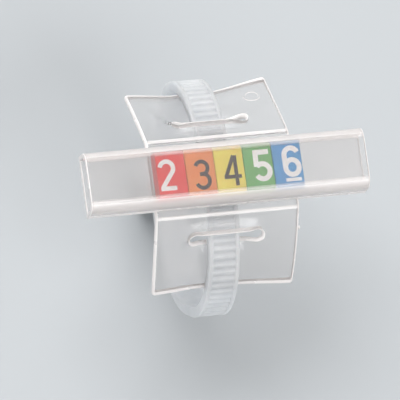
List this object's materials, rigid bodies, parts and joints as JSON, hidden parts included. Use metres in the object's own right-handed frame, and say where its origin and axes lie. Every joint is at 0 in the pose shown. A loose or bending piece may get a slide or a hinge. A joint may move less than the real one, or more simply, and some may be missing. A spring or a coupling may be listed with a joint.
{
  "type": "cable marker",
  "caption": "Clear tube on a slotted saddle sheet, tied round a cable with a toothed nylon tie and holding a row of coloured digit chips that name the cable.",
  "frame": {"origin": "on the cable's axis, at the middle of the strap's width", "axes": "+X along the cable, in the direction the digits are read; +Y up the digits; +Z away from the cable, out through the tube's window"},
  "size_m": [0.0324, 0.0272, 0.0337],
  "materials": {
    "clear_pvc": "clear soft PVC, moulded gloss",
    "red_chip": "coloured rigid plastic, printed digit",
    "orange_chip": "coloured rigid plastic, printed digit",
    "yellow_chip": "coloured rigid plastic, printed digit",
    "green_chip": "coloured rigid plastic, printed digit",
    "blue_chip": "coloured rigid plastic, printed digit",
    "natural_nylon": "natural translucent nylon, as moulded"
  },
  "bodies": {
    "root": {"carrier": "clear_pvc", "chip_2": "red_chip", "chip_3": "orange_chip", "chip_4": "yellow_chip", "chip_5": "green_chip", "chip_6": "blue_chip", "cable_tie": "natural_nylon"}
  },
  "joints": []
}
